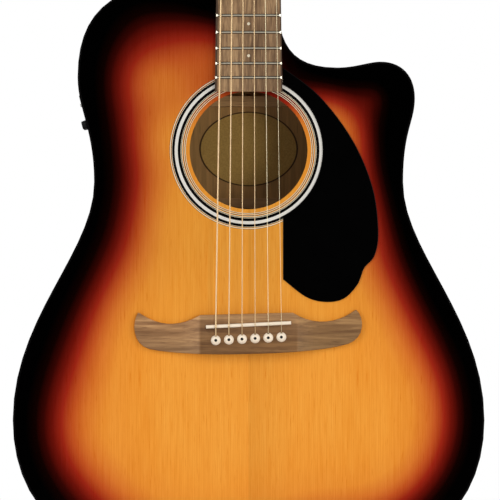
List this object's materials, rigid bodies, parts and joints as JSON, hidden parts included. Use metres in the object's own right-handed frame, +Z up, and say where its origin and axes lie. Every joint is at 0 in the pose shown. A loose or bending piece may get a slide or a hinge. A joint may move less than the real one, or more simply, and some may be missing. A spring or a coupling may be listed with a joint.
{
  "type": "steel-string acoustic guitar",
  "caption": "Steel-string acoustic guitar with rounded cutaway, sunburst top, bound soundhole rings, pickguard, pinned bridge, geared tuners, truss rod and onboard preamp.",
  "frame": {"origin": "mouth of the output jack at the tail, on the axis of its bore", "axes": "+Z up along the neck, -Y out of the soundboard towards the player's front, +X towards the cutaway"},
  "size_m": [0.4, 0.1351, 1.0459],
  "materials": {
    "sunburst_spruce": "gloss lacquer over a spruce top shaded from amber to black",
    "dark_wood": "gloss lacquer over dark stained basswood",
    "black_lacquer": "black gloss lacquer",
    "black_plastic_gloss": "polished",
    "bare_spruce": "bare sanded wood",
    "mahogany": "satin lacquer",
    "maple": "bare sanded wood",
    "label_paper": "thin printed-edge paper, no lettering",
    "white_plastic": "polished",
    "walnut": "oiled open-grained wood",
    "bone_plastic": "polished",
    "bright_steel": "bright drawn wire",
    "brass": "turned",
    "bronze": "wound wire",
    "chrome": "polished plating",
    "black_plastic": "fine texture",
    "cell_case": "plain sleeve"
  },
  "bodies": {
    "guitar": {"soundboard": "sunburst_spruce", "back_plate": "dark_wood", "side_bass": "black_lacquer", "side_treble": "black_lacquer", "top_binding": "black_plastic_gloss", "back_binding": "black_plastic_gloss", "linings": "bare_spruce", "neck_block": "mahogany", "tail_block": "mahogany", "x_braces": "bare_spruce", "top_braces": "bare_spruce", "bridge_plate": "maple", "back_braces": "bare_spruce", "label": "label_paper", "rosette_light": "white_plastic", "rosette_dark": "black_plastic_gloss", "pickguard": "black_plastic_gloss", "bridge": "walnut", "saddle": "bone_plastic", "pickup_strip": "bright_steel", "bridge_pins": "bone_plastic", "neck": "mahogany", "heel_cap": "black_plastic_gloss", "headstock": "mahogany", "headplate": "black_lacquer", "fingerboard": "walnut", "frets": "bright_steel", "position_dots": "bone_plastic", "nut": "bone_plastic", "truss_rod": "bright_steel", "wound_strings": "bronze", "plain_strings": "bright_steel", "ball_ends": "brass", "strap_button": "chrome", "end_pin": "chrome", "output_jack": "chrome", "preamp_panel": "black_plastic", "preamp_case": "black_plastic", "battery": "cell_case", "tuner_housings": "chrome", "tuner_bushings": "chrome", "tuner_screws": "chrome"},
    "truss_nut": {"truss_nut": "brass"},
    "knob_volume": {"knob_volume": "black_plastic"},
    "knob_bass": {"knob_bass": "black_plastic"},
    "knob_treble": {"knob_treble": "black_plastic"},
    "tuner_switch": {"tuner_switch": "white_plastic"},
    "battery_door": {"battery_door": "black_plastic"},
    "tuner_post_1": {"tuner_post_1": "chrome"},
    "tuner_post_2": {"tuner_post_2": "chrome"},
    "tuner_post_3": {"tuner_post_3": "chrome"},
    "tuner_post_4": {"tuner_post_4": "chrome"},
    "tuner_post_5": {"tuner_post_5": "chrome"},
    "tuner_post_6": {"tuner_post_6": "chrome"},
    "tuner_key_1": {"tuner_key_1": "chrome"},
    "tuner_key_2": {"tuner_key_2": "chrome"},
    "tuner_key_3": {"tuner_key_3": "chrome"},
    "tuner_key_4": {"tuner_key_4": "chrome"},
    "tuner_key_5": {"tuner_key_5": "chrome"},
    "tuner_key_6": {"tuner_key_6": "chrome"}
  },
  "joints": [
    {"name": "key_1_turn", "type": "hinge", "parent": "guitar", "child": "tuner_key_1", "pos_m": [-0.024, -0.03495, 0.90845], "axis": [-1, 0, 0], "continuous": true},
    {"name": "post_1_turn", "type": "hinge", "parent": "guitar", "child": "tuner_post_1", "pos_m": [-0.024, -0.052, 0.92085], "axis": [0, -0.9744, 0.225], "continuous": true},
    {"name": "key_2_turn", "type": "hinge", "parent": "guitar", "child": "tuner_key_2", "pos_m": [-0.024, -0.02618, 0.94645], "axis": [-1, 0, 0], "continuous": true},
    {"name": "post_2_turn", "type": "hinge", "parent": "guitar", "child": "tuner_post_2", "pos_m": [-0.024, -0.04323, 0.95885], "axis": [0, -0.9744, 0.225], "continuous": true},
    {"name": "key_3_turn", "type": "hinge", "parent": "guitar", "child": "tuner_key_3", "pos_m": [-0.024, -0.01741, 0.98445], "axis": [-1, 0, 0], "continuous": true},
    {"name": "post_3_turn", "type": "hinge", "parent": "guitar", "child": "tuner_post_3", "pos_m": [-0.024, -0.03446, 0.99685], "axis": [0, -0.9744, 0.225], "continuous": true},
    {"name": "key_4_turn", "type": "hinge", "parent": "guitar", "child": "tuner_key_4", "pos_m": [0.024, -0.01741, 0.98445], "axis": [1, 0, 0], "continuous": true},
    {"name": "post_4_turn", "type": "hinge", "parent": "guitar", "child": "tuner_post_4", "pos_m": [0.024, -0.03446, 0.99685], "axis": [0, -0.9744, 0.225], "continuous": true},
    {"name": "key_5_turn", "type": "hinge", "parent": "guitar", "child": "tuner_key_5", "pos_m": [0.024, -0.02618, 0.94645], "axis": [1, 0, 0], "continuous": true},
    {"name": "post_5_turn", "type": "hinge", "parent": "guitar", "child": "tuner_post_5", "pos_m": [0.024, -0.04323, 0.95885], "axis": [0, -0.9744, 0.225], "continuous": true},
    {"name": "key_6_turn", "type": "hinge", "parent": "guitar", "child": "tuner_key_6", "pos_m": [0.024, -0.03495, 0.90845], "axis": [1, 0, 0], "continuous": true},
    {"name": "post_6_turn", "type": "hinge", "parent": "guitar", "child": "tuner_post_6", "pos_m": [0.024, -0.052, 0.92085], "axis": [0, -0.9744, 0.225], "continuous": true},
    {"name": "volume_turn", "type": "hinge", "parent": "guitar", "child": "knob_volume", "pos_m": [-0.13767, -0.03372, 0.39666], "axis": [-0.9662, 0, -0.2577], "range_deg": [-140, 140]},
    {"name": "bass_turn", "type": "hinge", "parent": "guitar", "child": "knob_bass", "pos_m": [-0.13767, -0.02022, 0.39666], "axis": [-0.9662, 0, -0.2577], "range_deg": [-140, 140]},
    {"name": "treble_turn", "type": "hinge", "parent": "guitar", "child": "knob_treble", "pos_m": [-0.13767, -0.00671, 0.39666], "axis": [-0.9662, 0, -0.2577], "range_deg": [-140, 140]},
    {"name": "switch_press", "type": "slide", "parent": "guitar", "child": "tuner_switch", "axis": [0.9662, 0, 0.2577], "range_m": [0, 0.0008], "stiffness_N_per_m": 400},
    {"name": "battery_door_swing", "type": "hinge", "parent": "guitar", "child": "battery_door", "pos_m": [-0.14262, 0.01429, 0.4164], "axis": [0, 1, 0], "range_deg": [0, 100]},
    {"name": "truss_nut_turn", "type": "hinge", "parent": "guitar", "child": "truss_nut", "pos_m": [0, -0.053, 0.4573], "axis": [0, 0, -1], "range_deg": [-360, 360]}
  ],
  "couplings": [
    {"joint": "post_1_turn", "follows": "key_1_turn", "ratio": -0.071429},
    {"joint": "post_2_turn", "follows": "key_2_turn", "ratio": -0.071429},
    {"joint": "post_3_turn", "follows": "key_3_turn", "ratio": -0.071429},
    {"joint": "post_4_turn", "follows": "key_4_turn", "ratio": -0.071429},
    {"joint": "post_5_turn", "follows": "key_5_turn", "ratio": -0.071429},
    {"joint": "post_6_turn", "follows": "key_6_turn", "ratio": -0.071429}
  ]
}
